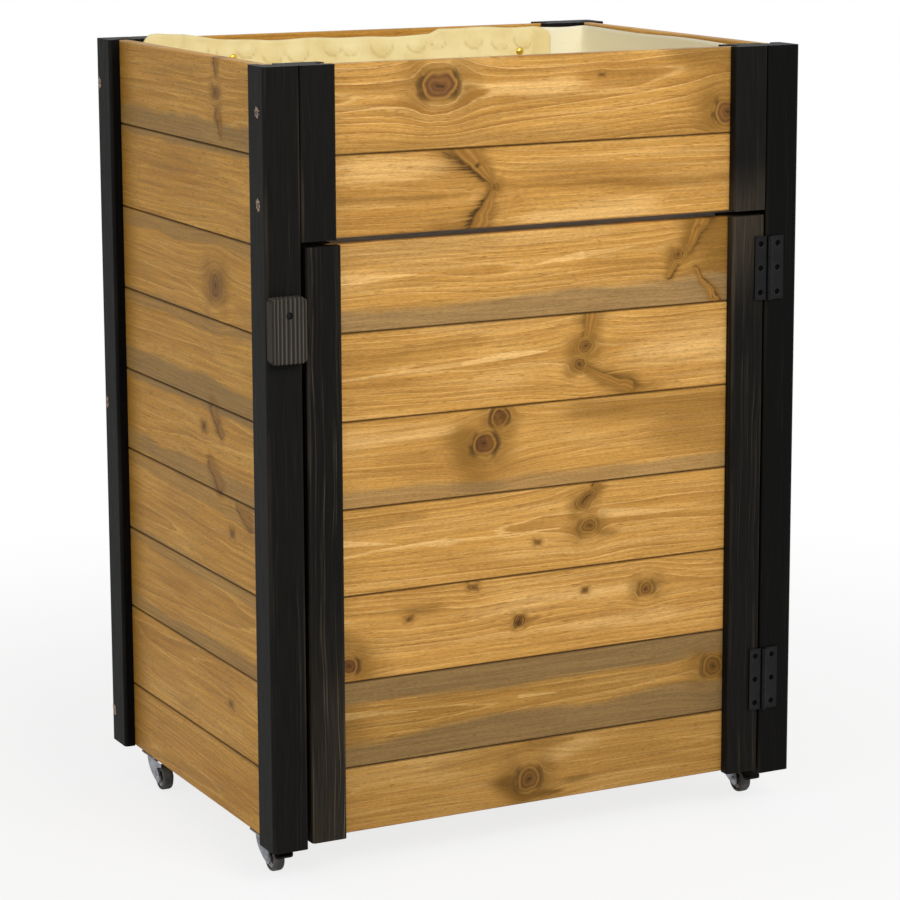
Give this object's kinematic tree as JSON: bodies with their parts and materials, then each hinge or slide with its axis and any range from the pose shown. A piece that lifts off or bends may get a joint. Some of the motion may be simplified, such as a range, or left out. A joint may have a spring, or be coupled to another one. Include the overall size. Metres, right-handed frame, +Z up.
{
  "type": "rolling planter cabinet",
  "caption": "Wooden planter cabinet on casters: black-stained posts, oiled pine boards, felt-lined planter on top and a hinged door with a turn button below.",
  "frame": {"origin": "on the floor, below the middle of the bounding box", "axes": "+X to the right as seen from the front, +Y to the back, +Z up"},
  "size_m": [0.65, 0.494, 0.884],
  "materials": {
    "black_stained_pine": "satin stain",
    "oiled_pine": "satin oil",
    "plain_pine": "raw",
    "felt": "needled felt",
    "black_steel": "satin black",
    "zinc_steel": "zinc plated",
    "grey_rubber": "matt",
    "hub_plastic": "matt"
  },
  "bodies": {
    "cabinet": {"post_front_left": "black_stained_pine", "post_front_right": "black_stained_pine", "post_rear_left": "black_stained_pine", "post_rear_right": "black_stained_pine", "front_stile_left": "black_stained_pine", "front_stile_right": "black_stained_pine", "back_stile_left": "black_stained_pine", "back_stile_right": "black_stained_pine", "side_boards_left": "oiled_pine", "side_boards_right": "oiled_pine", "back_boards": "oiled_pine", "front_board_upper": "oiled_pine", "front_board_lower": "oiled_pine", "front_rail": "plain_pine", "back_rail": "plain_pine", "planter_slats": "plain_pine", "base_bearers": "plain_pine", "storage_floor_boards": "plain_pine", "planter_liner": "felt", "turn_button_screw": "black_steel", "hinge_leaf_post_upper": "black_steel", "hinge_leaf_post_lower": "black_steel", "caster_plates": "zinc_steel"},
    "door": {"door_stile_left": "black_stained_pine", "door_stile_right": "black_stained_pine", "door_board_1": "oiled_pine", "door_board_2": "oiled_pine", "door_board_3": "oiled_pine", "door_board_4": "oiled_pine", "door_board_5": "oiled_pine", "door_board_6": "oiled_pine", "door_board_7": "oiled_pine", "hinge_leaf_door_upper": "black_steel", "hinge_leaf_door_lower": "black_steel"},
    "turn_button": {"turn_button": "black_stained_pine"},
    "swivel_front_left": {"caster_fork_front_left": "zinc_steel"},
    "wheel_front_left": {"caster_tyre_front_left": "grey_rubber", "caster_hub_front_left": "hub_plastic"},
    "swivel_front_right": {"caster_fork_front_right": "zinc_steel"},
    "wheel_front_right": {"caster_tyre_front_right": "grey_rubber", "caster_hub_front_right": "hub_plastic"},
    "swivel_rear_left": {"caster_fork_rear_left": "zinc_steel"},
    "wheel_rear_left": {"caster_tyre_rear_left": "grey_rubber", "caster_hub_rear_left": "hub_plastic"},
    "swivel_rear_right": {"caster_fork_rear_right": "zinc_steel"},
    "wheel_rear_right": {"caster_tyre_rear_right": "grey_rubber", "caster_hub_rear_right": "hub_plastic"},
    "pedal_left": {"brake_pedal_left": "black_steel"},
    "pedal_right": {"brake_pedal_right": "black_steel"}
  },
  "joints": [
    {"name": "door_hinge", "type": "hinge", "parent": "cabinet", "child": "door", "pos_m": [0.2875, -0.2363, 0.392], "axis": [0, 0, 1], "range_deg": [0, 175]},
    {"name": "button_turn", "type": "hinge", "parent": "cabinet", "child": "turn_button", "pos_m": [-0.3047, -0.247, 0.622], "axis": [0, -1, 0], "range_deg": [0, 90]},
    {"name": "swivel_front_left", "type": "hinge", "parent": "cabinet", "child": "swivel_front_left", "pos_m": [-0.298, -0.154, 0.0353], "axis": [0, 0, 1], "continuous": true},
    {"name": "roll_front_left", "type": "hinge", "parent": "swivel_front_left", "child": "wheel_front_left", "pos_m": [-0.298, -0.172, 0.015], "axis": [1, 0, 0], "continuous": true},
    {"name": "swivel_front_right", "type": "hinge", "parent": "cabinet", "child": "swivel_front_right", "pos_m": [0.298, -0.154, 0.0353], "axis": [0, 0, 1], "continuous": true},
    {"name": "roll_front_right", "type": "hinge", "parent": "swivel_front_right", "child": "wheel_front_right", "pos_m": [0.298, -0.172, 0.015], "axis": [1, 0, 0], "continuous": true},
    {"name": "swivel_rear_left", "type": "hinge", "parent": "cabinet", "child": "swivel_rear_left", "pos_m": [-0.298, 0.168, 0.0353], "axis": [0, 0, 1], "continuous": true},
    {"name": "roll_rear_left", "type": "hinge", "parent": "swivel_rear_left", "child": "wheel_rear_left", "pos_m": [-0.298, 0.15, 0.015], "axis": [1, 0, 0], "continuous": true},
    {"name": "swivel_rear_right", "type": "hinge", "parent": "cabinet", "child": "swivel_rear_right", "pos_m": [0.298, 0.168, 0.0353], "axis": [0, 0, 1], "continuous": true},
    {"name": "roll_rear_right", "type": "hinge", "parent": "swivel_rear_right", "child": "wheel_rear_right", "pos_m": [0.298, 0.15, 0.015], "axis": [1, 0, 0], "continuous": true},
    {"name": "brake_left", "type": "hinge", "parent": "swivel_front_left", "child": "pedal_left", "pos_m": [-0.298, -0.168, 0.033], "axis": [-1, 0, 0], "range_deg": [0, 15]},
    {"name": "brake_right", "type": "hinge", "parent": "swivel_front_right", "child": "pedal_right", "pos_m": [0.298, -0.168, 0.033], "axis": [-1, 0, 0], "range_deg": [0, 15]}
  ]
}
